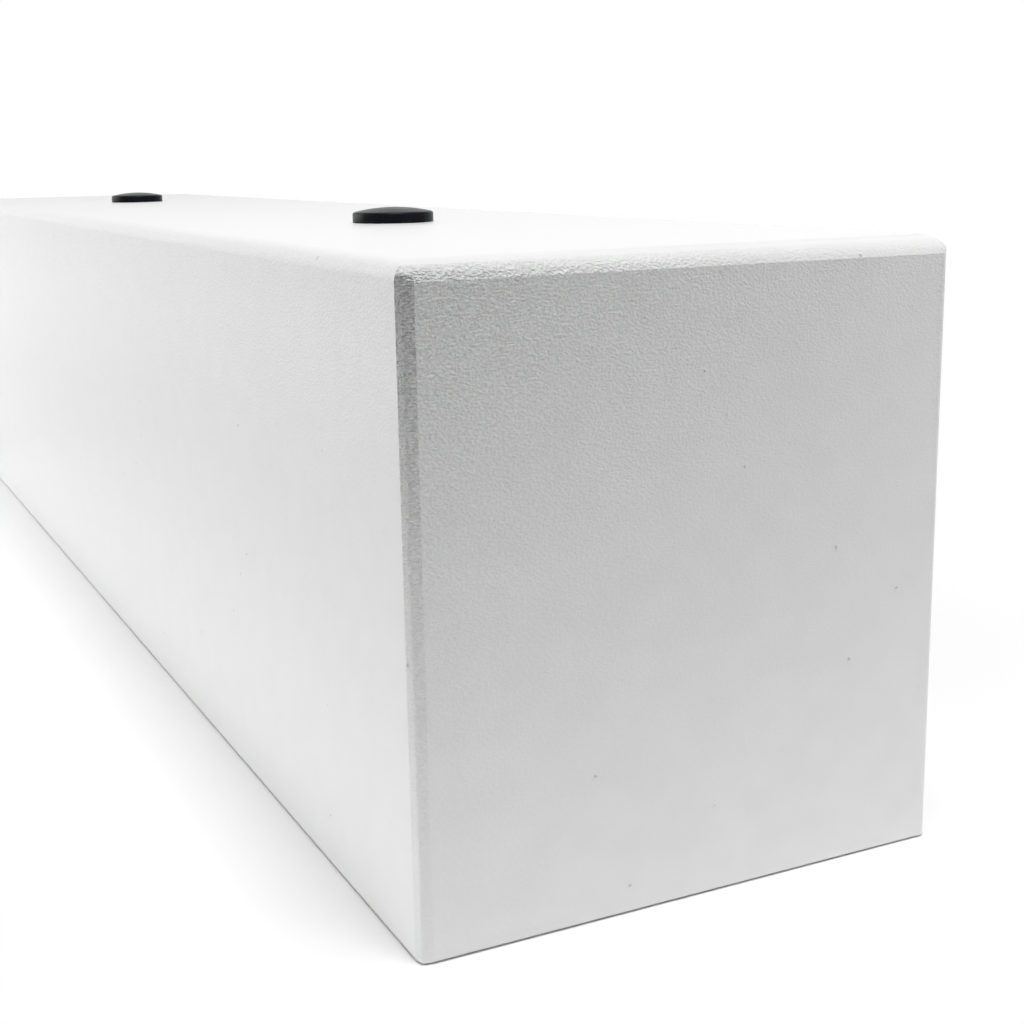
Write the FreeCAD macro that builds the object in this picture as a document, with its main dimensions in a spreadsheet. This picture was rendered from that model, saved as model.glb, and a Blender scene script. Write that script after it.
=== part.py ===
# Trough planter: a folded steel channel with an end plate welded into each end and two rubber drain plugs.
# It is stored the way it is photographed, upside down: the open rim stands on z = 0 and the base is on top.
# X runs across the trough, Y along it (the near end is at -Y) and the origin is under its middle.
import FreeCAD, Part
import math
import os
import Sketcher

# name, size in millimetres (or a plain count or angle in degrees), what it is
SIZES = [
    ("trough_length", 508.0, "over both ends"),
    ("trough_width", 101.6, "over both long sides"),
    ("trough_height", 110.0, "from the rim to the outside of the base"),
    ("sheet_thickness", 2.0, "one steel sheet, coated"),
    ("base_bend_radius", 3.2, "outside radius of the two long bends beside the base"),
    ("weld_root_gap", 0.2, "how far an end plate stops short of the channel's inside"),
    ("weld_round_radius", 1.4, "rounding of an upright weld after grinding"),
    ("weld_facet_degrees", 15.0, "slant of the two facets ground on the near left weld"),
    ("weld_facet_blend", 0.6, "rounding between those facets"),
    ("base_weld_radius", 5.9, "rounding ground across each end of the base"),
    ("base_weld_crease_degrees", 63.0, "how far that rounding tilts before it meets the end plate in a crease"),
    ("drain_hole_count", 2, "evenly spaced along the base"),
    ("drain_hole_diameter", 12.7, "punched through the base"),
    ("plug_clearance", 0.05, "radial gap between a plug's neck and its hole"),
    ("plug_head_diameter", 18.5, "over the head"),
    ("plug_head_edge", 2.3, "height of the head's upright edge"),
    ("plug_dome_rise", 1.1, "height of the dome above that edge"),
    ("plug_head_bevel", 0.4, "bevel between the edge and the dome"),
    ("plug_neck_reach", 0.5, "how far the neck reaches past the sheet"),
    ("plug_rib_count", 2, "sealing ribs on the stem"),
    ("plug_rib_pitch", 2.0, "from one rib to the next"),
    ("plug_rib_depth", 0.5, "how far the ribs stand out of the stem"),
    ("plug_tip_height", 1.5, "tapered lead-in at the end of the stem"),
    ("plug_tip_inset", 1.0, "how much smaller in radius the tip is than the neck"),
    ("plug_core_diameter", 7.0, "blind core that lets the stem squeeze"),
    ("plug_core_roof", 2.2, "rubber between the core and the top of the stem"),
    ("cut_overrun", 5.0, "how far cutting shapes reach past what they cut"),
]

doc = FreeCAD.newDocument("trough_planter")

sheet = doc.addObject("Spreadsheet::Sheet", "Sizes")
for row, (alias, value, meaning) in enumerate(SIZES, start=1):
    sheet.set("A%d" % row, alias)
    sheet.set("B%d" % row, str(value))
    sheet.set("C%d" % row, meaning)
    sheet.setAlias("B%d" % row, alias)
doc.recompute()

# Sizes that several pieces share, as expressions on the sheet
NOTCH = "(Sizes.sheet_thickness + Sizes.weld_root_gap)"
HALF_WIDTH = "(Sizes.trough_width / 2)"
HALF_LENGTH = "(Sizes.trough_length / 2)"
FULL_CUT = "(Sizes.trough_height + 2 * Sizes.cut_overrun)"


def value_of(expression):
    """The number that an expression on the sheet gives now."""
    result = sheet.evalExpression(expression)
    return float(getattr(result, "Value", result))


def bind(thing, expressions):
    """Ties properties of an object to expressions on the sheet."""
    for name, expression in expressions.items():
        thing.setExpression(name, expression)
    return thing


def origin_plane(body, role):
    """One of a body's own origin planes."""
    return next(plane for plane in body.Origin.OriginFeatures if plane.Role == role)


def arc_between(start, end, centre_across):
    """The anticlockwise arc between two points whose centre lies at a given distance across."""
    near = start.x - centre_across
    far = end.x - centre_across
    centre_up = (near ** 2 - far ** 2 + start.y ** 2 - end.y ** 2) / (2 * (start.y - end.y))
    rise = start.y - centre_up
    centre = FreeCAD.Vector(centre_across, centre_up, 0)
    circle = Part.Circle(centre, FreeCAD.Vector(0, 0, 1), math.hypot(near, rise))
    return Part.ArcOfCircle(circle, math.atan2(rise, near), math.atan2(end.y - centre_up, far))


def sketch_outline(body, name, role, points):
    """A closed outline. Each point is a pair of expressions, with a third where an arc starts from it.

    The third one says how far across the arc's centre lies.
    """
    sketch = body.newObject("Sketcher::SketchObject", name)
    sketch.AttachmentSupport = [(origin_plane(body, role), "")]
    sketch.MapMode = "FlatFace"

    def tie(kind, line, place, expression):
        distance = Sketcher.Constraint(kind, -1, 1, line, place, value_of(expression))
        sketch.setExpression("Constraints[%d]" % sketch.addConstraint(distance), expression)

    places = [FreeCAD.Vector(value_of(point[0]), value_of(point[1]), 0) for point in points]
    for point, start, end in zip(points, places, places[1:] + places[:1]):
        if len(point) == 3:
            sketch.addGeometry(arc_between(start, end, value_of(point[2])))
        else:
            sketch.addGeometry(Part.LineSegment(start, end))
    for line, point in enumerate(points):
        sketch.addConstraint(Sketcher.Constraint("Coincident", line, 2, (line + 1) % len(points), 1))
        tie("DistanceX", line, 1, point[0])
        tie("DistanceY", line, 1, point[1])
        if len(point) == 3:
            tie("DistanceX", line, 3, point[2])
    return sketch


def padded(label, role, outline, length, place):
    """A block drawn on one of the origin planes and padded from there."""
    body = doc.addObject("PartDesign::Body", label)
    bind(body, place)
    pad = body.newObject("PartDesign::Pad", label + "_pad")
    pad.Profile = sketch_outline(body, label + "_outline", role, outline)
    bind(pad, {"Length": length})
    doc.recompute()
    return body


def channel_form(label, inset, bend_radius, foot):
    """The cross-section of the folded channel, set in from its outside and run along the trough."""
    right = "(%s - %s)" % (HALF_WIDTH, inset)
    left = "-" + right
    top = "(Sizes.trough_height - %s)" % inset
    shoulder = "(%s - %s)" % (top, bend_radius)
    outline = [
        (left, "-" + foot),
        (right, "-" + foot),
        (right, shoulder, "%s - %s" % (right, bend_radius)),
        ("%s - %s" % (right, bend_radius), top),
        ("%s + %s" % (left, bend_radius), top, "%s + %s" % (left, bend_radius)),
        (left, shoulder),
    ]
    length = "(Sizes.trough_length - 2 * %s)" % inset
    return padded(label, "XZ_Plane", outline, length, {"Placement.Base.y": "%s / 2" % length})


def plan_form():
    """The trough seen from above: three plain rounded corners and the near left one in two facets."""
    left = "-" + HALF_WIDTH
    near = "-" + HALF_LENGTH
    rounding = "Sizes.weld_round_radius"
    slope = "(Sizes.weld_facet_degrees * 1 deg)"
    ridge = "(%s * tan(%s) / (1 + tan(%s)))" % (NOTCH, slope, slope)
    reach = "(Sizes.weld_facet_blend / tan(45 deg + %s))" % slope
    beside = "(%s - %s * sin(%s))" % (ridge, reach, slope)
    above = "(%s + %s * cos(%s))" % (ridge, reach, slope)
    outline = [
        ("%s + %s" % (left, NOTCH), near),
        ("%s - %s" % (HALF_WIDTH, rounding), near, "%s - %s" % (HALF_WIDTH, rounding)),
        (HALF_WIDTH, "%s + %s" % (near, rounding)),
        (HALF_WIDTH, "%s - %s" % (HALF_LENGTH, rounding), "%s - %s" % (HALF_WIDTH, rounding)),
        ("%s - %s" % (HALF_WIDTH, rounding), HALF_LENGTH),
        ("%s + %s" % (left, rounding), HALF_LENGTH, "%s + %s" % (left, rounding)),
        (left, "%s - %s" % (HALF_LENGTH, rounding)),
        (left, "%s + %s" % (near, NOTCH)),
        ("%s + %s" % (left, beside), "%s + %s" % (near, above),
         "%s + %s + Sizes.weld_facet_blend * cos(%s)" % (left, beside, slope)),
        ("%s + %s" % (left, above), "%s + %s" % (near, beside)),
    ]
    return padded("plan_form", "XY_Plane", outline, FULL_CUT, {"Placement.Base.z": "-Sizes.cut_overrun"})


def side_form():
    """The trough seen from the side, with the rounding that is ground over the weld at each end."""
    tilt = "(Sizes.base_weld_crease_degrees * 1 deg)"
    deep = "(%s - Sizes.base_weld_radius * sin(%s))" % (HALF_LENGTH, tilt)
    crease = "(Sizes.trough_height - Sizes.base_weld_radius * (1 - cos(%s)))" % tilt
    outline = [
        ("-" + HALF_LENGTH, "-Sizes.cut_overrun"),
        (HALF_LENGTH, "-Sizes.cut_overrun"),
        (HALF_LENGTH, crease, deep),
        (deep, "Sizes.trough_height"),
        ("-" + deep, "Sizes.trough_height", "-" + deep),
        ("-" + HALF_LENGTH, crease),
    ]
    across = "(%s + Sizes.cut_overrun)" % HALF_WIDTH
    return padded("side_form", "YZ_Plane", outline, "2 * " + across, {"Placement.Base.x": "-" + across})


def end_block(label, start, width, foot, height, on_far_end):
    """A block of space at one end, as deep as the welds there."""
    block = doc.addObject("Part::Box", label)
    return bind(block, {
        "Length": width,
        "Width": NOTCH,
        "Height": height,
        "Placement.Base.x": start,
        "Placement.Base.y": "%s - %s" % (HALF_LENGTH, NOTCH) if on_far_end else "-" + HALF_LENGTH,
        "Placement.Base.z": foot,
    })


def drain_place(number):
    """Where a drain hole lies along the trough, counted from the near end."""
    return "(Sizes.trough_length * (%d - 0.5) / Sizes.drain_hole_count - %s)" % (number, HALF_LENGTH)


def drain_bore(number):
    """The round cut that one drain hole makes through the base."""
    bore = doc.addObject("Part::Cylinder", "drain_bore_%d" % number)
    return bind(bore, {
        "Radius": "Sizes.drain_hole_diameter / 2",
        "Height": "Sizes.sheet_thickness + 2 * Sizes.cut_overrun",
        "Placement.Base.y": drain_place(number),
        "Placement.Base.z": "Sizes.trough_height - Sizes.sheet_thickness - Sizes.cut_overrun",
    })


def boolean(kind, label, base, tool):
    """A cut or common of two objects."""
    result = doc.addObject(kind, label)
    result.Base = base
    result.Tool = tool
    return result


def part_of_shell(label, block):
    """The share of the welded trough that lies in one block."""
    return boolean("Part::Common", label, shell, block)


def end_pieces(end, on_far_end):
    """The plate that closes one end and the three runs of weld that hold it in the channel."""
    left = "-" + HALF_WIDTH
    foot = "-Sizes.cut_overrun"
    plate_left = "%s + %s" % (left, NOTCH)
    plate_width = "Sizes.trough_width - 2 * %s" % NOTCH
    weld_right = "%s - %s" % (HALF_WIDTH, NOTCH)
    plate_top = "Sizes.trough_height - %s" % NOTCH
    side_height = "%s + Sizes.cut_overrun" % plate_top
    cap_height = "%s + Sizes.cut_overrun" % NOTCH
    blocks = [
        ("end_plate_" + end, plate_left, plate_width, foot, side_height),
        ("corner_weld_%s_left" % end, left, NOTCH, foot, side_height),
        ("corner_weld_%s_right" % end, weld_right, NOTCH, foot, side_height),
        ("base_weld_" + end, left, "Sizes.trough_width", plate_top, cap_height),
    ]
    return [part_of_shell(label, end_block(label + "_block", *sizes, on_far_end)) for label, *sizes in blocks]


def plug_outline():
    """Half of a plug's section as (radius, height over the base): hollow core, ribbed stem, neck, head."""
    neck = "(Sizes.drain_hole_diameter / 2 - Sizes.plug_clearance)"
    stem = "(%s - Sizes.plug_rib_depth)" % neck
    head = "(Sizes.plug_head_diameter / 2)"
    shoulder = "(%s - Sizes.plug_head_bevel)" % head
    core = "(Sizes.plug_core_diameter / 2)"
    neck_end = "(-Sizes.sheet_thickness - Sizes.plug_neck_reach)"
    rib_end = "(%s - Sizes.plug_rib_count * Sizes.plug_rib_pitch)" % neck_end
    tip = "(%s - Sizes.plug_tip_height)" % rib_end
    points = [
        ("0", "-Sizes.plug_core_roof"),
        (core, "-Sizes.plug_core_roof"),
        (core, tip),
        ("%s - Sizes.plug_tip_inset" % neck, tip),
    ]
    for rib in reversed(range(int(value_of("Sizes.plug_rib_count")))):
        root = "(%s - %d * Sizes.plug_rib_pitch)" % (neck_end, rib)
        points.append((neck, "%s - Sizes.plug_rib_pitch" % root))
        points.append((stem, "%s - Sizes.plug_rib_depth" % root))
    points += [
        (neck, neck_end),
        (neck, "0"),
        (head, "0"),
        (head, "Sizes.plug_head_edge - Sizes.plug_head_bevel"),
        (shoulder, "Sizes.plug_head_edge", "0"),
        ("0", "Sizes.plug_head_edge + Sizes.plug_dome_rise"),
    ]
    return points


def drain_plug(number):
    """A moulded rubber plug, its head down on the base and its stem through a drain hole."""
    label = "drain_plug_%d" % number
    body = doc.addObject("PartDesign::Body", label)
    bind(body, {"Placement.Base.y": drain_place(number), "Placement.Base.z": "Sizes.trough_height"})
    outline = sketch_outline(body, label + "_section", "XZ_Plane", plug_outline())
    turned = body.newObject("PartDesign::Revolution", label + "_turned")
    turned.Profile = outline
    turned.ReferenceAxis = (outline, ["V_Axis"])
    doc.recompute()
    return body


forms = [
    channel_form("channel_outside", "0", "Sizes.base_bend_radius", "0"),
    plan_form(),
    side_form(),
]
cavity_form = channel_form("channel_inside", "Sizes.sheet_thickness",
                           "(Sizes.base_bend_radius - Sizes.sheet_thickness)", "Sizes.cut_overrun")
outer_form = doc.addObject("Part::MultiCommon", "outer_form")
outer_form.Shapes = forms
shell = boolean("Part::Cut", "shell", outer_form, cavity_form)

hole_numbers = range(1, int(value_of("Sizes.drain_hole_count")) + 1)

removed = doc.addObject("Part::MultiFuse", "removed_from_sheet")
removed.Shapes = [
    cavity_form,
    end_block("near_end_block", "-" + HALF_WIDTH, "Sizes.trough_width", "-Sizes.cut_overrun", FULL_CUT, False),
    end_block("far_end_block", "-" + HALF_WIDTH, "Sizes.trough_width", "-Sizes.cut_overrun", FULL_CUT, True),
] + [drain_bore(number) for number in hole_numbers]
folded_trough = boolean("Part::Cut", "folded_trough", outer_form, removed)

plugs = [drain_plug(number) for number in hole_numbers]
pieces = [folded_trough] + end_pieces("near", False) + end_pieces("far", True) + plugs
doc.recompute()

for thing in doc.Objects:
    if "Invalid" in thing.State or "Error" in thing.State:
        raise RuntimeError("%s did not build: %s" % (thing.Label, thing.State))
for piece in pieces:
    if piece.Shape.isNull() or not piece.Shape.isValid() or len(piece.Shape.Solids) != 1:
        raise RuntimeError("%s is not one sound solid" % piece.Label)

os.makedirs("parts", exist_ok=True)
for piece in pieces:
    piece.Shape.exportStep("parts/%s.step" % piece.Label)
    print("%-24s %10.1f mm3  %s" % (piece.Label, piece.Shape.Volume, piece.Shape.BoundBox))
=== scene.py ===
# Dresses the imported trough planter: a folded steel channel with welded end plates and two rubber plugs.
# Everything is in metres and stands as the model is stored, upside down on its rim.
import math

import bmesh
import bpy
from mathutils import Matrix, Vector


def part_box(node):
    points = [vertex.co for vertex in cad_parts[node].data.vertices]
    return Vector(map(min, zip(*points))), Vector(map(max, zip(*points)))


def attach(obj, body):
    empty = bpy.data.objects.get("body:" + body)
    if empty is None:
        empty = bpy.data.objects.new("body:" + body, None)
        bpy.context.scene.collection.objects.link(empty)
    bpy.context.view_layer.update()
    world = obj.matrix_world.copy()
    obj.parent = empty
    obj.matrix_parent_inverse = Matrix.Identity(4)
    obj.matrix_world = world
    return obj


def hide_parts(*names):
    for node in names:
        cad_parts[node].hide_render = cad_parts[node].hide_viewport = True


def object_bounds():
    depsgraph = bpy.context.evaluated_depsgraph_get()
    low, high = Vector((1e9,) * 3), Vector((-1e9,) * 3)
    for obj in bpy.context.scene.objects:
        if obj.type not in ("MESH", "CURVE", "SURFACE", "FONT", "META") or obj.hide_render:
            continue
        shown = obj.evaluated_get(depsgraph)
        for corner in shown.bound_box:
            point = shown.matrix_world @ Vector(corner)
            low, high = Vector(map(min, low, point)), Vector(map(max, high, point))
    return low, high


bl_info = {
    "name": "Trough planter",
    "version": (1, 0, 0),
    "blender": (4, 5, 0),
    "location": "3D View > Sidebar > Trough planter",
    "description": "Powder-coats the trough and its welds, moulds the drain plugs and sets the stage",
    "category": "Object",
}

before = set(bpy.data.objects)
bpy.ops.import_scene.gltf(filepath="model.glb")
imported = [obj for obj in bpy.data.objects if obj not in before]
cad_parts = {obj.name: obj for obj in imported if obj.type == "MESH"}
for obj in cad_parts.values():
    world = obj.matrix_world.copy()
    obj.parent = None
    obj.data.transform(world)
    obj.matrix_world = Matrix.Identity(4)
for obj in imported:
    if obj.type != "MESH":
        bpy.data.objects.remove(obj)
CAD_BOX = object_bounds()

PLUG_LOW, PLUG_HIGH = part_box("drain_plug_1")
HALF_WIDTH = CAD_BOX[1][0]
HALF_LENGTH = CAD_BOX[1][1]
LENGTH = 2 * HALF_LENGTH
BASE_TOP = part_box("folded_trough")[1].z
PLUG_NODES = ["drain_plug_1", "drain_plug_2"]
END_NODES = [
    "end_plate_near",
    "end_plate_far",
    "base_weld_near",
    "base_weld_far",
    "corner_weld_near_left",
    "corner_weld_near_right",
    "corner_weld_far_left",
    "corner_weld_far_right",
]

# Sizes that the pieces' boxes don't give: the steel, how far a weld reaches in from the outside, and how
# far a plug's neck reaches past the steel
SHEET = 0.002
WELD_REACH = 0.0022
NECK_PAST_SHEET = 0.0005

# Places closer together than this are one, and a normal with this share along an axis lies on it
SAME_PLACE = 0.00001
ON_AXIS = 0.99

# Edges that turn less than the first angle are left out, and up to the second they shade smooth
ONE_FACE = math.radians(0.2)
SOFT_BEND = math.radians(23)

# Nearly all values of a noise texture lie between these two
NOISE_LOW = 0.35
NOISE_HIGH = 0.65

# Sockets that share their names with others: the colours that a Mix node takes and gives, and the whole
# numbers that a Compare node takes
MIX_LOW, MIX_HIGH, MIX_RESULT = 6, 7, 2
COMPARE_A, COMPARE_B = 2, 3

# Powder coat: typical refraction, and a satin roughness that was matched to the trough
COAT_IOR = 1.5
COAT_ROUGHNESS = (0.26, 0.40)

# How far a surface faces up where its melt starts to flow out smooth, and where it lies level
STARTS_TO_FLOW = 0.6
LIES_LEVEL = 0.97

# A pit from its middle outwards, as distance and height: its bottom, side, raised ring and the level coat
PIT_PROFILE = [(0.0, 0.0), (0.00024, 0.15), (0.00044, 0.85), (0.00072, 0.6)]
# Painted shade darkens a pit fully out to the first distance and is gone by the second
PIT_DARK_TO = 0.00012
PIT_LIGHT_FROM = 0.00044

# Rubber with a greyish film, and gloss that was matched to the plugs
RUBBER_IOR = 1.18
RUBBER_ROUGHNESS = (0.22, 0.38)
FILM_PATCH = 0.003
FILM_FROM = 0.4
FILM_TO = 0.7

# The mould's own grain is about 0.05 mm. It is drawn at 0.25 mm so that it shows.
RUBBER_GRAIN = 0.00025
RUBBER_GRAIN_DEPTH = 0.00001

# The board's fibres, and where it ends. Its near edge lies 150 mm in front of the near end.
BOARD_ROUGHNESS = 0.7
BOARD_FIBRE = 0.002
BOARD_FIBRE_DEPTH = 0.00002
BOARD_SIDES = (-0.20, 0.32)
BOARD_ENDS = (-HALF_LENGTH - 0.15, 0.60)

# The room's light comes from this way, and fades to nothing between these two shares of facing it
ROOM_LIGHT_FROM = (-0.30, 0.90, 0.30)
ROOM_DARK = -0.3
ROOM_BRIGHT = 0.9

# Each lamp's place, the point that it looks at, its width and height, and whether it shows in gloss
LAMPS = {
    "key": ((0.0, -0.44, 1.1), (0.0, -0.2, 0.1), 0.3, 0.3, True),
    "overhead": ((-0.05, -0.25, 1.1), (0.0, -0.1, 0.0), 1.3, 1.3, True),
    "far_left": ((-0.55, 0.45, 0.25), (-0.05, 0.2, 0.06), 0.5, 0.5, True),
    "behind": ((-0.30, 0.75, 0.15), (-0.05, 0.0, 0.06), 0.3, 0.3, True),
    "near_left": ((-0.45, -0.30, 0.01), (-0.05, -0.1, 0.02), 0.6, 0.06, True),
    "near_right": ((0.26, -0.38, 0.16), (0.05, -0.25, 0.09), 0.12, 0.12, False),
}


def linear_rgb(hex_code):
    """The linear colour of an sRGB hex value."""
    parts = [int(hex_code[at:at + 2], 16) / 255 for at in (1, 3, 5)]
    return tuple(part / 12.92 if part <= 0.04045 else ((part + 0.055) / 1.055) ** 2.4 for part in parts)


def length_prop(name, description, default):
    """A length in metres that the sidebar shows in the scene's units."""
    return bpy.props.FloatProperty(name=name, description=description, default=default, min=0.0,
                                   unit="LENGTH", precision=5)


def colour_prop(name, description, hex_code):
    """A plain colour."""
    return bpy.props.FloatVectorProperty(name=name, description=description, subtype="COLOR",
                                         default=linear_rgb(hex_code), min=0.0, max=1.0)


def watts_prop(name, description, default):
    """The power of a lamp."""
    return bpy.props.FloatProperty(name=name, description=description, default=default, min=0.0,
                                   unit="POWER")


def level_prop(name, description, default):
    """A share or a brightness, where 1 is all of it."""
    return bpy.props.FloatProperty(name=name, description=description, default=default, min=0.0)


class TroughCoat(bpy.types.PropertyGroup):
    """Sizes and colours of the powder coat."""

    colour: colour_prop("Coat colour", "White polyester powder", "#EDEEED")
    shade: colour_prop("Thin coat colour", "The coat where it lies a little thinner", "#EBECEB")
    thin_rim: level_prop("Grain at the rim", "Share of the grain's depth that is left at the rim", 0.05)
    thin_right: level_prop("Grain on the right", "Share left on the side away from the spray gun", 0.12)
    thin_top: level_prop("Grain on the base", "Share that is left where the melt lies level", 0.15)
    rim_round: length_prop("Rim rounding", "Rounding that the coat leaves on the cut rim", 0.00035)
    grain: length_prop("Grain width", "Width of one bump of the orange peel", 0.00055)
    flatness: level_prop("Grain flatness", "How much wider than high a bump is", 1.4)
    weld_flatness: level_prop("Grain flatness on the welds", "The same on the ground corner welds", 1.8)
    grain_depth: length_prop("Grain depth", "Height of the orange peel on the rolled sheet", 0.00008)
    end_depth: length_prop("Grain depth on the ends", "Its height on the end plates", 0.00032)
    weld_depth: length_prop("Grain depth on the welds", "Its height on the ground corner welds", 0.0007)
    # Hollow shade is painted shade: it darkens the coat's colour in the grain's hollows
    hollow_painted_shade: level_prop("Hollow shade", "Light that the deepest hollows on the welds lose", 0.56)
    swell: length_prop("Swell width", "Width of the slow waves under the grain", 0.007)
    swell_depth: length_prop("Swell depth", "Height of the slow waves", 0.00006)
    pit_spacing: length_prop("Pit spacing", "Spacing of the bubbles where gas came out in the oven", 0.008)
    pit_depth: length_prop("Pit depth", "Depth of the pits that they leave in the walls", 0.00012)
    pit_ragged: length_prop("Pit raggedness", "How far the grain pushes a pit's edge out of round", 0.0008)
    # Pit shade is painted shade: it darkens the coat's colour at the bottom of each pit
    pit_bottom_painted_shade: level_prop("Pit shade", "How much light the bottom of a pit loses", 0.34)


class DrainPlugs(bpy.types.PropertyGroup):
    """Sizes and colours of the rubber plugs."""

    colour: colour_prop("Rubber colour", "Black moulded rubber", "#08090E")
    bloom: colour_prop("Bloom colour", "Greyish film on the rubber's skin", "#0F1118")
    head: length_prop("Head diameter", "Over the head", PLUG_HIGH.x - PLUG_LOW.x)
    head_edge: length_prop("Head edge", "Height of the head's upright edge", 0.0023)
    dome: length_prop("Dome rise", "Height of the dome over that edge", 0.0011)
    head_round: length_prop("Head rounding", "Rounding between edge and dome", 0.0006)
    neck: length_prop("Neck diameter", "Where the plug fills its hole", 0.0126)
    rib_count: bpy.props.IntProperty(name="Rib count", description="Sealing ribs on the stem",
                                     default=2, min=1)
    rib_pitch: length_prop("Rib pitch", "From one rib to the next", 0.002)
    rib_depth: length_prop("Rib depth", "How far the ribs stand out of the stem", 0.0005)
    tip_height: length_prop("Tip height", "Tapered end of the stem", 0.0015)
    tip_inset: length_prop("Tip inset", "How much smaller in radius the tip is", 0.001)
    core: length_prop("Core diameter", "Blind core of the stem", 0.007)
    core_roof: length_prop("Core roof", "Rubber over the core, below the base's top", 0.0022)
    edge_round: length_prop("Edge rounding", "Rounding of every moulded edge", 0.0002)


class StudioStage(bpy.types.PropertyGroup):
    """Floor, light and camera."""

    floor_colour: colour_prop("Floor colour", "Pale matt board", "#F8F8F8")
    rim_gap: length_prop("Gap under the rim", "How far the cut rim stands off the board", 0.0003)
    fade_from: length_prop("Fade from", "Distance from the trough where the board starts to fade", 0.03)
    fade_to: length_prop("Fade to", "Distance where it is as white as the room", 0.13)
    key: watts_prop("Key", "Smaller lamp above the near end, whose light grazes the walls", 7.2)
    overhead: watts_prop("Overhead", "Large lamp above the near end", 4.0)
    far_left: watts_prop("Far left", "Lamp beside the far end, on the left", 2.28)
    behind: watts_prop("Behind", "Lamp behind the far end, on the left", 0.22)
    near_left: watts_prop("Near left", "Low lamp on the left of the near end", 0.5)
    near_right: watts_prop("Near right", "Lamp close to the right of the near end", 0.265)
    room_behind: level_prop("Room behind", "Light of the room from behind the trough", 0.12)


def add_node(tree, kind, settings=None, inputs=None):
    """Adds one node, sets its options, and sets or links each of its inputs.

    The inputs are a dictionary by name or number, or a list in the sockets' order. A node in them stands
    for its first output.
    """
    node = tree.nodes.new(kind)
    for name, value in (settings or {}).items():
        setattr(node, name, value)
    if not isinstance(inputs, dict):
        inputs = dict(enumerate(inputs or []))
    for key, value in inputs.items():
        if isinstance(value, bpy.types.Node):
            value = value.outputs[0]
        if isinstance(value, bpy.types.NodeSocket):
            tree.links.new(value, node.inputs[key])
        else:
            node.inputs[key].default_value = value
    return node


def new_material(name):
    """An empty material with its shader and the place on the piece that patterns read."""
    material = bpy.data.materials.new(name)
    material.use_nodes = True
    tree = material.node_tree
    tree.nodes.clear()
    shader = add_node(tree, "ShaderNodeBsdfPrincipled")
    add_node(tree, "ShaderNodeOutputMaterial", inputs={"Surface": shader})
    place = add_node(tree, "ShaderNodeTexCoord").outputs["Object"]
    return material, tree, shader, place


def coat_build(tree, coat, place):
    """How much of the coat's grain is left at each place, and how much of it the melt's flow alone leaves.

    The trough was sprayed from above on the left with its base up, so the grain fades towards the rim and
    the right. On what faces up the melt flows out smooth.
    """
    spot = add_node(tree, "ShaderNodeSeparateXYZ", inputs=[place]).outputs
    down = add_node(tree, "ShaderNodeMapRange", inputs={
        "Value": spot["Z"], "From Max": BASE_TOP, "To Min": 1.0, "To Max": 0.0})
    right = add_node(tree, "ShaderNodeMapRange", inputs={
        "Value": spot["X"], "From Min": -HALF_WIDTH, "From Max": HALF_WIDTH})
    left_below = add_node(tree, "ShaderNodeMath", {"operation": "POWER"}, [coat.thin_rim, down])
    left_beside = add_node(tree, "ShaderNodeMath", {"operation": "POWER"}, [coat.thin_right, right])
    sprayed = add_node(tree, "ShaderNodeMath", {"operation": "MULTIPLY"}, [left_below, left_beside])
    normal = add_node(tree, "ShaderNodeTexCoord").outputs["Normal"]
    upward = add_node(tree, "ShaderNodeSeparateXYZ", inputs=[normal]).outputs["Z"]
    unflowed = add_node(tree, "ShaderNodeMapRange", inputs={
        "Value": upward, "From Min": STARTS_TO_FLOW, "From Max": LIES_LEVEL,
        "To Min": 1.0, "To Max": coat.thin_top})
    build = add_node(tree, "ShaderNodeMath", {"operation": "MULTIPLY"}, [sprayed, unflowed])
    return build, unflowed


def coat_pits(tree, coat, place, grain):
    """The pits that gas leaves in the oven: their height, and the shade painted into their bottoms.

    Each is the slice of a bubble that lies at the surface, so they differ in size.
    """
    push = (coat.pit_ragged, coat.pit_ragged, coat.pit_ragged)
    ragged = add_node(tree, "ShaderNodeVectorMath", {"operation": "MULTIPLY_ADD"}, [
        grain.outputs["Color"], push, place])
    bubbles = add_node(tree, "ShaderNodeTexVoronoi", inputs={
        "Vector": ragged, "Scale": 1 / coat.pit_spacing})
    height = add_node(tree, "ShaderNodeValToRGB", inputs=[bubbles])
    height.color_ramp.interpolation = "EASE"
    stops = height.color_ramp.elements
    while len(stops) < len(PIT_PROFILE):
        stops.new(1.0)
    for stop, (distance, rise) in zip(stops, PIT_PROFILE):
        stop.position = distance / coat.pit_spacing
        stop.color = (rise, rise, rise, 1.0)
    all_painted_shade = add_node(tree, "ShaderNodeMapRange", {"interpolation_type": "SMOOTHSTEP"}, {
        "Value": bubbles, "From Min": PIT_DARK_TO / coat.pit_spacing,
        "From Max": PIT_LIGHT_FROM / coat.pit_spacing, "To Min": coat.pit_bottom_painted_shade, "To Max": 0.0})
    return height, all_painted_shade


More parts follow.
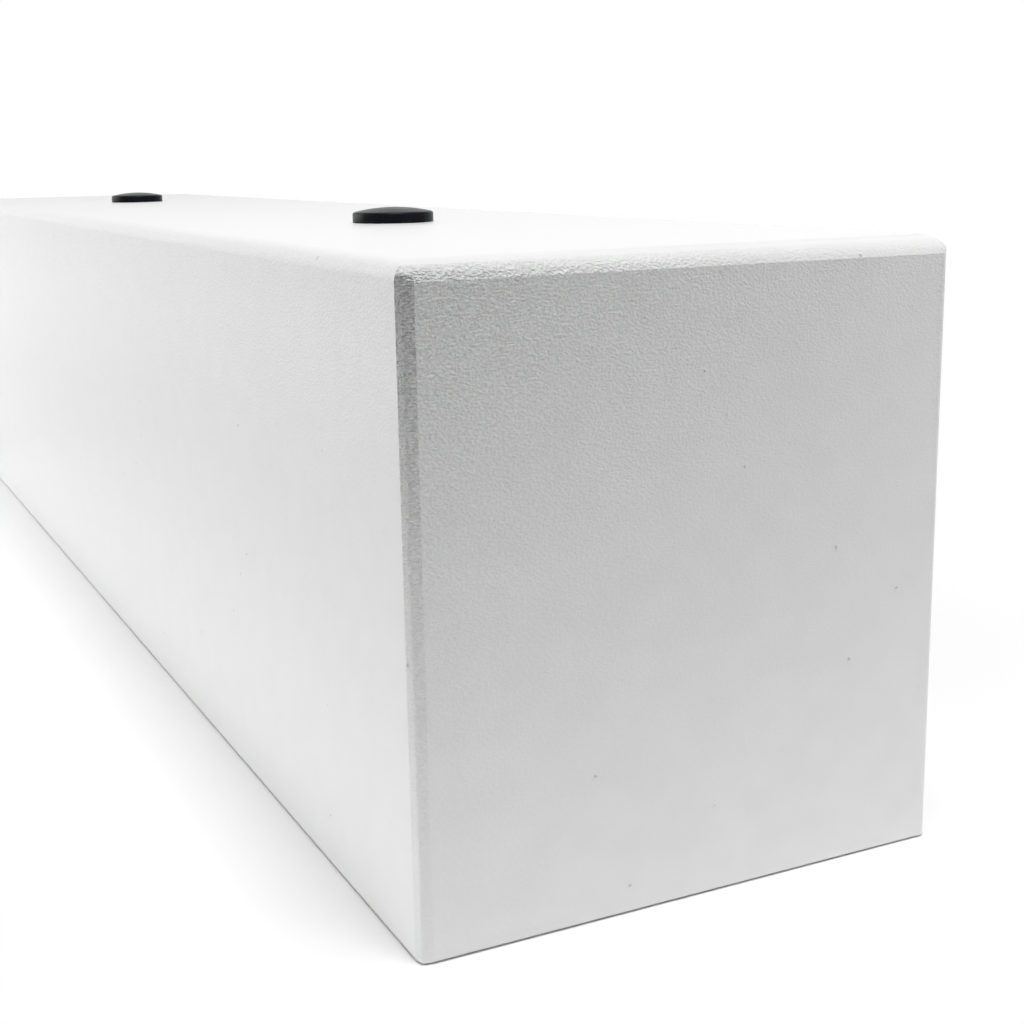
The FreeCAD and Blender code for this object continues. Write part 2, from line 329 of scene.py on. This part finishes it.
def polyester_powder_coat(coat, name, grain_depth, flatness):
    """Polyester powder sprayed dry on steel and baked.

    It melts into a satin skin with an orange-peel grain, slow waves under it, and a few pits with a raised
    ring. The grain's bumps are wider than high by the given flatness, and painted shade darkens its
    hollows.
    """
    material, tree, shader, place = new_material(name)
    build, unflowed = coat_build(tree, coat, place)
    swell = add_node(tree, "ShaderNodeTexNoise", inputs={
        "Vector": place, "Scale": 1 / coat.swell, "Detail": 1.0})
    flat = add_node(tree, "ShaderNodeVectorMath", {"operation": "MULTIPLY"}, [place, (1.0, 1.0, flatness)])
    grain = add_node(tree, "ShaderNodeTexNoise", inputs={
        "Vector": flat, "Scale": 1 / coat.grain, "Detail": 2.0, "Distortion": 0.2})
    bumps = add_node(tree, "ShaderNodeMapRange", {"clamp": False}, {
        "Value": grain, "From Min": NOISE_LOW, "From Max": NOISE_HIGH})
    pits, pits_painted_shade = coat_pits(tree, coat, place, grain)

    # Each layer lies on the one before: the slow waves, the pits and the grain
    surface = {}
    for height, share, depth in (
        (swell, build, coat.swell_depth),
        (pits, unflowed, coat.pit_depth),
        (bumps, build, grain_depth),
    ):
        distance = add_node(tree, "ShaderNodeMath", {"operation": "MULTIPLY"}, [share, depth])
        bump = add_node(tree, "ShaderNodeBump", inputs={
            "Height": height, "Strength": 1.0, "Distance": distance, **surface})
        surface = {"Normal": bump}

    # The colour varies with the coat's thickness, and painted shade darkens it in the grain's hollows and
    # in the pits
    thickness = add_node(tree, "ShaderNodeMapRange", inputs={
        "Value": swell, "From Min": NOISE_LOW, "From Max": NOISE_HIGH})
    tone = add_node(tree, "ShaderNodeMix", {"data_type": "RGBA"}, {
        "Factor": thickness, MIX_LOW: (*coat.shade, 1.0), MIX_HIGH: (*coat.colour, 1.0)})
    # Painted shade: the lower the grain at a place, the darker its colour, most of all on the welds
    deepest = coat.hollow_painted_shade * grain_depth / coat.weld_depth
    height_painted_shade = add_node(tree, "ShaderNodeMapRange", inputs={"Value": bumps, "To Min": deepest, "To Max": 0.0})
    hollows_painted_shade = add_node(tree, "ShaderNodeMath", {"operation": "MULTIPLY"}, [build, height_painted_shade])
    all_painted_shade = add_node(tree, "ShaderNodeMath", {"operation": "MULTIPLY_ADD"}, [
        unflowed, pits_painted_shade, hollows_painted_shade])
    unshaded_share = add_node(tree, "ShaderNodeMath", {"operation": "SUBTRACT"}, [1.0, all_painted_shade])
    colour = add_node(tree, "ShaderNodeVectorMath", {"operation": "SCALE"}, {
        "Vector": tone.outputs[MIX_RESULT], "Scale": unshaded_share})
    satin = add_node(tree, "ShaderNodeMapRange", inputs={
        "Value": swell, "To Min": COAT_ROUGHNESS[0], "To Max": COAT_ROUGHNESS[1]})

    tree.links.new(colour.outputs[0], shader.inputs["Base Color"])
    tree.links.new(satin.outputs[0], shader.inputs["Roughness"])
    tree.links.new(bump.outputs[0], shader.inputs["Normal"])
    shader.inputs["IOR"].default_value = COAT_IOR
    return material


def moulded_rubber(plugs):
    """Black compression-moulded rubber: a dull skin with a fine grain, and a grey film in patches."""
    material, tree, shader, place = new_material("Moulded rubber")
    skin = add_node(tree, "ShaderNodeTexNoise", inputs={
        "Vector": place, "Scale": 1 / RUBBER_GRAIN, "Detail": 2.0})
    film = add_node(tree, "ShaderNodeTexNoise", inputs={
        "Vector": place, "Scale": 1 / FILM_PATCH, "Detail": 3.0})
    bump = add_node(tree, "ShaderNodeBump", inputs={
        "Height": skin, "Strength": 1.0, "Distance": RUBBER_GRAIN_DEPTH})
    patch = add_node(tree, "ShaderNodeMapRange", inputs={
        "Value": film, "From Min": FILM_FROM, "From Max": FILM_TO})
    tone = add_node(tree, "ShaderNodeMix", {"data_type": "RGBA"}, {
        "Factor": patch, MIX_LOW: (*plugs.colour, 1.0), MIX_HIGH: (*plugs.bloom, 1.0)})
    dull = add_node(tree, "ShaderNodeMapRange", inputs={
        "Value": film, "To Min": RUBBER_ROUGHNESS[0], "To Max": RUBBER_ROUGHNESS[1]})
    tree.links.new(tone.outputs[MIX_RESULT], shader.inputs["Base Color"])
    tree.links.new(dull.outputs[0], shader.inputs["Roughness"])
    tree.links.new(bump.outputs[0], shader.inputs["Normal"])
    shader.inputs["IOR"].default_value = RUBBER_IOR
    return material


def show(name, mesh, material):
    """Puts a finished mesh in the scene as a piece."""
    mesh.materials.clear()
    mesh.materials.append(material)
    piece = bpy.data.objects.new(name, mesh)
    bpy.context.scene.collection.objects.link(piece)
    return piece


def lies_on_joint(edge):
    """Whether an edge borders a face where sheet and weld touch."""
    middle = (edge.verts[0].co + edge.verts[1].co) / 2
    across = abs(abs(middle.x) - (HALF_WIDTH - WELD_REACH)) < SAME_PLACE
    along = abs(abs(middle.y) - (HALF_LENGTH - WELD_REACH)) < SAME_PLACE
    return any(across and abs(face.normal.x) > ON_AXIS or along and abs(face.normal.y) > ON_AXIS
               for face in edge.link_faces)


def coated_copy(node, rim_round):
    """A copy of a steel piece in whole faces, its rim rounded by the coat and its bends shaded smooth."""
    work = bmesh.new()
    work.from_mesh(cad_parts[node].data)
    bmesh.ops.remove_doubles(work, verts=work.verts, dist=SAME_PLACE / 10)
    bmesh.ops.dissolve_limit(work, angle_limit=ONE_FACE, verts=work.verts, edges=work.edges)
    rim = [edge for edge in work.edges
           if max(vert.co.z for vert in edge.verts) < SAME_PLACE and not lies_on_joint(edge)]
    bmesh.ops.bevel(work, geom=rim, offset=rim_round, offset_type="OFFSET", segments=3, profile=0.5,
                    affect="EDGES", clamp_overlap=True)
    for face in work.faces:
        face.smooth = True
    for edge in work.edges:
        edge.smooth = edge.calc_face_angle(0.0) < SOFT_BEND
    mesh = bpy.data.meshes.new(node + "_coated")
    work.to_mesh(mesh)
    work.free()
    return mesh


def made_plain(piece):
    """Turns what a piece's modifiers make into its own mesh."""
    bpy.context.view_layer.update()
    depsgraph = bpy.context.evaluated_depsgraph_get()
    mesh = bpy.data.meshes.new_from_object(piece.evaluated_get(depsgraph))
    piece.modifiers.clear()
    piece.data = mesh
    return mesh


def coat_piece(name, node, coat, material):
    """Coats one steel piece of the trough. Its largest faces set the shading, so flat walls stay flat."""
    piece = show(name, coated_copy(node, coat.rim_round), material)
    flat_walls = piece.modifiers.new("Flat walls", "WEIGHTED_NORMAL")
    flat_walls.keep_sharp = True
    flat_walls.weight = 100
    made_plain(piece)
    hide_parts(node)
    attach(piece, "trough")


class TROUGH_OT_powder_coat(bpy.types.Operator):
    """Makes the coated channel in place of the bare folded sheet"""

    bl_idname = "trough.powder_coat"
    bl_label = "Coat the folded channel"

    def execute(self, context):
        coat = context.scene.trough_coat
        material = polyester_powder_coat(coat, "Polyester powder coat", coat.grain_depth, coat.flatness)
        coat_piece("coated_trough", "folded_trough", coat, material)
        return {"FINISHED"}


class TROUGH_OT_ends(bpy.types.Operator):
    """Makes the coated end plates and the welds that hold them"""

    bl_idname = "trough.ends"
    bl_label = "Coat the welded ends"

    def execute(self, context):
        coat = context.scene.trough_coat
        on_plates = polyester_powder_coat(
            coat, "Polyester powder coat on plate", coat.end_depth, coat.flatness)
        on_welds = polyester_powder_coat(
            coat, "Polyester powder coat on ground weld", coat.weld_depth, coat.weld_flatness)
        for node in END_NODES:
            coat_piece("coated_" + node, node, coat, on_welds if node.startswith("corner") else on_plates)
        return {"FINISHED"}


# What the plug's tree asks for
PLUG_INPUTS = {
    "NodeSocketFloat": [
        "Head Radius", "Head Edge", "Dome Rise", "Head Rounding", "Neck Radius", "Neck End", "Rib Pitch",
        "Rib Depth", "Tip Height", "Tip Inset", "Core Radius", "Core Roof", "Edge Rounding", "Hole Pitch",
        "Base Height",
    ],
    "NodeSocketInt": ["Rib Count", "Hole Count", "Hole", "Facets", "Dome Rings"],
}

# Corners of half the plug's section, as radius and height over the base, from the core's top out and down
# to the tip, up the ribs and over the head. The ribs share one corner, and the rings of the dome the last.
PLUG_SECTION = [
    (0.0, "Core Top"),
    ("Core Radius", "Core Top"),
    ("Core Radius", "Tip Bottom"),
    ("Tip Radius", "Tip Bottom"),
    ("Rib Radius", "Rib Height"),
    ("Neck Radius", "Neck Bottom"),
    ("Neck Radius", 0.0),
    ("Head Radius", 0.0),
    ("Head Radius", "Head Edge"),
    ("Dome Radius", "Dome Height"),
]

# The numbers of three of them
RIBS = 4
SHOULDER = 8
DOME = 9

# Sums in the plug's tree: a name, an operation, and numbers or the names of inputs and earlier sums
PLUG_SUMS = [
    ("Neck Bottom", "SUBTRACT", 0.0, "Neck End"),
    ("Rib Stack", "MULTIPLY", "Rib Count", "Rib Pitch"),
    ("Rib Bottom", "SUBTRACT", "Neck Bottom", "Rib Stack"),
    ("Tip Bottom", "SUBTRACT", "Rib Bottom", "Tip Height"),
    ("Tip Radius", "SUBTRACT", "Neck Radius", "Tip Inset"),
    ("Core Top", "SUBTRACT", 0.0, "Core Roof"),
    # Each rib has two points: its lower edge, and the groove above it
    ("Rib Points", "MULTIPLY", "Rib Count", 2.0),
    ("On Ribs", "SUBTRACT", "Index", RIBS),
    ("In Groove", "MODULO", "On Ribs", 2.0),
    ("Half Way", "MULTIPLY", "On Ribs", 0.5),
    ("Rib", "FLOOR", "Half Way"),
    ("Cut In", "MULTIPLY", "In Groove", "Rib Depth"),
    ("Rib Radius", "SUBTRACT", "Neck Radius", "Cut In"),
    ("Rib Rise", "MULTIPLY", "Rib", "Rib Pitch"),
    ("Rib Foot", "ADD", "Rib Bottom", "Rib Rise"),
    ("Rib Face", "SUBTRACT", "Rib Pitch", "Rib Depth"),
    ("Groove Rise", "MULTIPLY", "In Groove", "Rib Face"),
    ("Rib Height", "ADD", "Rib Foot", "Groove Rise"),
    # Past the ribs each point is a corner of its own, and on the dome each ring is nearer to the axis
    ("Past Ribs", "SUBTRACT", "Index", "Rib Points"),
    ("Later Corner", "ADD", "Past Ribs", 1.0),
    ("Ring", "SUBTRACT", "Later Corner", SHOULDER),
    ("Ring Share", "DIVIDE", "Ring", "Dome Rings"),
    ("Out Share", "SUBTRACT", 1.0, "Ring Share"),
    ("Fall Share", "MULTIPLY", "Out Share", "Out Share"),
    ("Rise Share", "SUBTRACT", 1.0, "Fall Share"),
    ("Ring Rise", "MULTIPLY", "Dome Rise", "Rise Share"),
    ("Dome Height", "ADD", "Head Edge", "Ring Rise"),
    ("Dome Radius", "MULTIPLY", "Out Share", "Head Radius"),
    # Which corner of the section a point is, and how many points there are: one for each corner up to the
    # shoulder, apart from the ribs', and the ribs' and rings' own
    ("Up To Ribs", "MINIMUM", "Index", RIBS),
    ("Up To Dome", "MINIMUM", "Later Corner", DOME),
    ("Corner", "MAXIMUM", "Up To Ribs", "Up To Dome"),
    ("Round Points", "ADD", "Rib Points", "Dome Rings"),
    ("Point Count", "ADD", "Round Points", SHOULDER),
    # One column of points more than facets closes the turn
    ("Columns", "ADD", "Facets", 1.0),
    # The drain holes stand in a row about the middle of the base, and are counted from one
    ("Gap Count", "SUBTRACT", "Hole Count", 1.0),
    ("Half Gap", "MULTIPLY", "Hole Pitch", -0.5),
    ("First Hole", "MULTIPLY", "Gap Count", "Half Gap"),
    ("Hole Number", "ADD", "Index", 1.0),
]


def half_section(tree, known):
    """Half of the plug's section as a line of points with rounded corners."""
    section = add_node(tree, "GeometryNodeIndexSwitch", {"data_type": "VECTOR"})
    while len(section.index_switch_items) < len(PLUG_SECTION):
        section.index_switch_items.new()
    tree.links.new(known["Corner"], section.inputs[0])
    for item, (across, up) in enumerate(PLUG_SECTION, start=1):
        corner = add_node(tree, "ShaderNodeCombineXYZ", inputs={
            "X": known.get(across, across), "Z": known.get(up, up)})
        tree.links.new(corner.outputs[0], section.inputs[item])
    points = add_node(tree, "GeometryNodePoints", inputs={
        "Count": known["Point Count"], "Position": section})
    outline = add_node(tree, "GeometryNodePointsToCurves", inputs={"Points": points})
    is_shoulder = add_node(tree, "FunctionNodeCompare", {"data_type": "FLOAT", "operation": "EQUAL"}, {
        "A": known["Later Corner"], "B": SHOULDER, "Epsilon": 0.01})
    radius = add_node(tree, "GeometryNodeSwitch", {"input_type": "FLOAT"}, [
        is_shoulder, known["Edge Rounding"], known["Head Rounding"]])
    soft = add_node(tree, "GeometryNodeFilletCurve", {"mode": "POLY"}, {
        "Curve": outline, "Count": 3, "Radius": radius, "Limit Radius": True})
    return add_node(tree, "GeometryNodeCurveToMesh", inputs={"Curve": soft})


def turned_section(tree, known, line):
    """The plug's skin: each column of a grid is one copy of the section, turned further round the axis."""
    rows = add_node(tree, "GeometryNodeAttributeDomainSize", {"component": "MESH"}, {
        "Geometry": line}).outputs["Point Count"]
    grid = add_node(tree, "GeometryNodeMeshGrid", inputs={
        "Vertices X": known["Columns"], "Vertices Y": rows})
    row = add_node(tree, "ShaderNodeMath", {"operation": "MODULO"}, [known["Index"], rows])
    safely = add_node(tree, "ShaderNodeMath", {"operation": "ADD"}, [known["Index"], 0.5])
    columns_on = add_node(tree, "ShaderNodeMath", {"operation": "DIVIDE"}, [safely, rows])
    column = add_node(tree, "ShaderNodeMath", {"operation": "FLOOR"}, [columns_on])
    turn = add_node(tree, "ShaderNodeMath", {"operation": "DIVIDE"}, [column, known["Facets"]])
    angle = add_node(tree, "ShaderNodeMath", {"operation": "MULTIPLY"}, [turn, 2 * math.pi])
    position = add_node(tree, "GeometryNodeInputPosition")
    sampled = add_node(tree, "GeometryNodeSampleIndex", {"data_type": "FLOAT_VECTOR", "domain": "POINT"}, {
        "Geometry": line, "Value": position, "Index": row})
    turned = add_node(tree, "ShaderNodeVectorRotate", {"rotation_type": "Z_AXIS"}, {
        "Vector": sampled, "Angle": angle})
    skin = add_node(tree, "GeometryNodeSetPosition", inputs={"Geometry": grid, "Position": turned})
    closed = add_node(tree, "GeometryNodeMergeByDistance", inputs={
        "Geometry": skin, "Distance": SAME_PLACE / 5})
    return add_node(tree, "GeometryNodeSetShadeSmooth", inputs={"Geometry": closed})


def in_its_hole(tree, known, plug):
    """The plug in the drain hole that is asked for."""
    start = add_node(tree, "ShaderNodeCombineXYZ", inputs={
        "Y": known["First Hole"], "Z": known["Base Height"]})
    step = add_node(tree, "ShaderNodeCombineXYZ", inputs={"Y": known["Hole Pitch"]})
    holes = add_node(tree, "GeometryNodeMeshLine", {"mode": "OFFSET"}, {
        "Count": known["Hole Count"], "Start Location": start, "Offset": step})
    wanted = add_node(tree, "FunctionNodeCompare", {"data_type": "INT", "operation": "EQUAL"}, {
        COMPARE_A: known["Hole Number"], COMPARE_B: known["Hole"]})
    plugged = add_node(tree, "GeometryNodeInstanceOnPoints", inputs={
        "Points": holes, "Selection": wanted, "Instance": plug})
    return add_node(tree, "GeometryNodeRealizeInstances", inputs={"Geometry": plugged})


def plug_tree(material):
    """Turns a ribbed plug from its sizes and stands it in one of the evenly spaced drain holes."""
    tree = bpy.data.node_groups.new("Ribbed drain plug", "GeometryNodeTree")
    tree.interface.new_socket(name="Geometry", in_out="OUTPUT", socket_type="NodeSocketGeometry")
    for kind, names in PLUG_INPUTS.items():
        for name in names:
            tree.interface.new_socket(name=name, in_out="INPUT", socket_type=kind)
    known = {socket.name: socket for socket in add_node(tree, "NodeGroupInput").outputs}
    known["Index"] = add_node(tree, "GeometryNodeInputIndex").outputs[0]
    for name, operation, *values in PLUG_SUMS:
        settings = {"operation": operation, "label": name}
        known[name] = add_node(
            tree, "ShaderNodeMath", settings, [known.get(value, value) for value in values]).outputs[0]
    plug = turned_section(tree, known, half_section(tree, known))
    rubber = add_node(tree, "GeometryNodeSetMaterial", inputs={
        "Geometry": in_its_hole(tree, known, plug), "Material": material})
    add_node(tree, "NodeGroupOutput", inputs=[rubber])
    return tree


class TROUGH_OT_drain_plugs(bpy.types.Operator):
    """Moulds a ribbed rubber plug for each drain hole"""

    bl_idname = "trough.drain_plugs"
    bl_label = "Mould the drain plugs"

    def execute(self, context):
        plugs = context.scene.drain_plugs
        material = moulded_rubber(plugs)
        tree = plug_tree(material)
        sizes = {
            "Head Radius": plugs.head / 2,
            "Head Edge": plugs.head_edge,
            "Dome Rise": plugs.dome,
            "Head Rounding": plugs.head_round,
            "Neck Radius": plugs.neck / 2,
            "Neck End": SHEET + NECK_PAST_SHEET,
            "Rib Count": plugs.rib_count,
            "Rib Pitch": plugs.rib_pitch,
            "Rib Depth": plugs.rib_depth,
            "Tip Height": plugs.tip_height,
            "Tip Inset": plugs.tip_inset,
            "Core Radius": plugs.core / 2,
            "Core Roof": plugs.core_roof,
            "Edge Rounding": plugs.edge_round,
            "Hole Count": len(PLUG_NODES),
            "Hole Pitch": LENGTH / len(PLUG_NODES),
            "Base Height": BASE_TOP,
            "Facets": 96,
            "Dome Rings": 12,
        }
        sockets = {item.name: item.identifier for item in tree.interface.items_tree}
        for number, node in enumerate(PLUG_NODES, start=1):
            piece = show("rubber_plug_%d" % number, bpy.data.meshes.new("rubber_plug"), material)
            making = piece.modifiers.new("Ribbed drain plug", "NODES")
            making.node_group = tree
            for name, size in sizes.items():
                making[sockets[name]] = size
            making[sockets["Hole"]] = number
            if not made_plain(piece).polygons:
                raise RuntimeError("the plug's tree made no faces")
            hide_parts(node)
            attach(piece, "plug_%d" % number)
        return {"FINISHED"}


def seen_directly(tree):
    """Whether a ray comes from the eye, by itself or through gloss or glass."""
    seen = add_node(tree, "ShaderNodeLightPath").outputs
    mirrored = add_node(tree, "ShaderNodeMath", {"operation": "MAXIMUM"}, [
        seen["Is Glossy Ray"], seen["Is Transmission Ray"]])
    return add_node(tree, "ShaderNodeMath", {"operation": "MAXIMUM"}, [seen["Is Camera Ray"], mirrored])


def distance_from_trough(tree, place):
    """How far a place on the board lies from the trough's sides and ends."""
    mirrored = add_node(tree, "ShaderNodeVectorMath", {"operation": "ABSOLUTE"}, [place])
    past = add_node(tree, "ShaderNodeVectorMath", {"operation": "SUBTRACT"}, [
        mirrored, (HALF_WIDTH, HALF_LENGTH, BASE_TOP)])
    outside = add_node(tree, "ShaderNodeVectorMath", {"operation": "MAXIMUM"}, [past, (0.0, 0.0, 0.0)])
    return add_node(tree, "ShaderNodeVectorMath", {"operation": "LENGTH"}, [outside]).outputs["Value"]


def board(stage):
    """The pale board that the trough stands on."""
    work = bmesh.new()
    corners = [(x, y, -stage.rim_gap) for y in BOARD_ENDS for x in BOARD_SIDES]
    near_left, near_right, far_left, far_right = [work.verts.new(corner) for corner in corners]
    work.faces.new([near_left, near_right, far_right, far_left])
    mesh = bpy.data.meshes.new("board")
    work.to_mesh(mesh)
    work.free()

    material, tree, shader, place = new_material("Matt white board")
    fibre = add_node(tree, "ShaderNodeTexNoise", inputs={
        "Vector": place, "Scale": 1 / BOARD_FIBRE, "Detail": 3.0})
    bump = add_node(tree, "ShaderNodeBump", inputs={
        "Height": fibre, "Strength": 1.0, "Distance": BOARD_FIBRE_DEPTH})
    tree.links.new(bump.outputs[0], shader.inputs["Normal"])
    shader.inputs["Base Color"].default_value = (*stage.floor_colour, 1.0)
    shader.inputs["Roughness"].default_value = BOARD_ROUGHNESS

    # Away from the trough the board is as white to the eye as the room, so that its far edges don't show
    faded = add_node(tree, "ShaderNodeMapRange", {"interpolation_type": "SMOOTHSTEP"}, {
        "Value": distance_from_trough(tree, place), "From Min": stage.fade_from,
        "From Max": stage.fade_to})
    share = add_node(tree, "ShaderNodeMath", {"operation": "MULTIPLY"}, [faded, seen_directly(tree)])
    white = add_node(tree, "ShaderNodeEmission", inputs={"Strength": 1.0})
    mixed = add_node(tree, "ShaderNodeMixShader", inputs=[share, shader, white])
    tree.links.new(mixed.outputs[0], tree.nodes["Material Output"].inputs["Surface"])
    show("board", mesh, material)


def studio_room(stage):
    """A white room to the eye whose light comes from behind the trough and from above."""
    world = bpy.data.worlds.new("Studio room")
    world.use_nodes = True
    tree = world.node_tree
    tree.nodes.clear()
    direction = add_node(tree, "ShaderNodeTexCoord").outputs["Generated"]
    facing = add_node(tree, "ShaderNodeVectorMath", {"operation": "DOT_PRODUCT"}, [
        direction, ROOM_LIGHT_FROM]).outputs["Value"]
    glow = add_node(tree, "ShaderNodeMapRange", {"interpolation_type": "SMOOTHSTEP"}, {
        "Value": facing, "From Min": ROOM_DARK, "From Max": ROOM_BRIGHT, "To Max": stage.room_behind})
    white = (1.0, 1.0, 1.0, 1.0)
    soft = add_node(tree, "ShaderNodeBackground", inputs={"Color": white, "Strength": glow})
    plain = add_node(tree, "ShaderNodeBackground", inputs={"Color": white, "Strength": 1.0})
    mixed = add_node(tree, "ShaderNodeMixShader", inputs=[seen_directly(tree), soft, plain])
    add_node(tree, "ShaderNodeOutputWorld", inputs={"Surface": mixed})
    bpy.context.scene.world = world


def softbox(name, watts, place, target, width, height, in_gloss):
    """A soft lamp that looks at a point."""
    lamp = bpy.data.lights.new(name, "AREA")
    lamp.shape = "RECTANGLE"
    lamp.size = width
    lamp.size_y = height
    lamp.energy = watts
    box = bpy.data.objects.new(name, lamp)
    box.location = place
    box.rotation_euler = (Vector(target) - Vector(place)).to_track_quat("-Z", "Y").to_euler()
    box.visible_camera = False
    box.visible_glossy = in_gloss
    bpy.context.scene.collection.objects.link(box)


def photographers_camera():
    """The camera where the photograph was taken: close to the near end and just above the base."""
    lens = bpy.data.cameras.new("Camera")
    lens.sensor_width = 36.0
    lens.lens = 53.97
    lens.shift_x = 0.0099
    lens.shift_y = -0.0327
    lens.clip_start = 0.01
    right = Vector((0.89782, -0.44001, -0.01757))
    up = Vector((0.10588, 0.17696, 0.97851))
    back = Vector((-0.42744, -0.88038, 0.20547))
    place = Vector((-0.13434, -0.20434 - HALF_LENGTH, 0.12431))
    camera = bpy.data.objects.new("Camera", lens)
    camera.matrix_world = Matrix.Translation(place) @ Matrix((right, up, back)).transposed().to_4x4()
    bpy.context.scene.collection.objects.link(camera)
    bpy.context.scene.camera = camera


class TROUGH_OT_stage(bpy.types.Operator):
    """Sets the board, the light and the camera"""

    bl_idname = "trough.stage"
    bl_label = "Set the stage"

    def execute(self, context):
        stage = context.scene.studio_stage
        board(stage)
        studio_room(stage)
        for power, setting in LAMPS.items():
            softbox(power.replace("_", " ").capitalize(), getattr(stage, power), *setting)
        photographers_camera()
        context.scene.view_settings.view_transform = "Standard"
        return {"FINISHED"}


class TROUGH_PT_sidebar(bpy.types.Panel):
    """Lists the trough's sizes, colours and steps"""

    bl_idname = "TROUGH_PT_sidebar"
    bl_label = "Trough planter"
    bl_space_type = "VIEW_3D"
    bl_region_type = "UI"
    bl_category = "Trough planter"

    def draw(self, context):
        groups = (
            (context.scene.trough_coat, ("trough.powder_coat", "trough.ends")),
            (context.scene.drain_plugs, ("trough.drain_plugs",)),
            (context.scene.studio_stage, ("trough.stage",)),
        )
        for group, steps in groups:
            column = self.layout.column(align=True)
            for name in group.__annotations__:
                column.prop(group, name)
            for step in steps:
                column.operator(step)


CLASSES = (TroughCoat, DrainPlugs, StudioStage, TROUGH_OT_powder_coat, TROUGH_OT_ends,
           TROUGH_OT_drain_plugs, TROUGH_OT_stage, TROUGH_PT_sidebar)


def register():
    """Makes the sizes, steps and sidebar known to Blender."""
    for kind in CLASSES:
        bpy.utils.register_class(kind)
    bpy.types.Scene.trough_coat = bpy.props.PointerProperty(type=TroughCoat)
    bpy.types.Scene.drain_plugs = bpy.props.PointerProperty(type=DrainPlugs)
    bpy.types.Scene.studio_stage = bpy.props.PointerProperty(type=StudioStage)


def unregister():
    """Takes them out again."""
    del bpy.types.Scene.studio_stage
    del bpy.types.Scene.drain_plugs
    del bpy.types.Scene.trough_coat
    for kind in reversed(CLASSES):
        bpy.utils.unregister_class(kind)


def main():
    """Makes every piece in order."""
    register()
    bpy.ops.trough.stage()
    bpy.ops.trough.powder_coat()
    bpy.ops.trough.ends()
    bpy.ops.trough.drain_plugs()


if __name__ == "__main__":
    main()
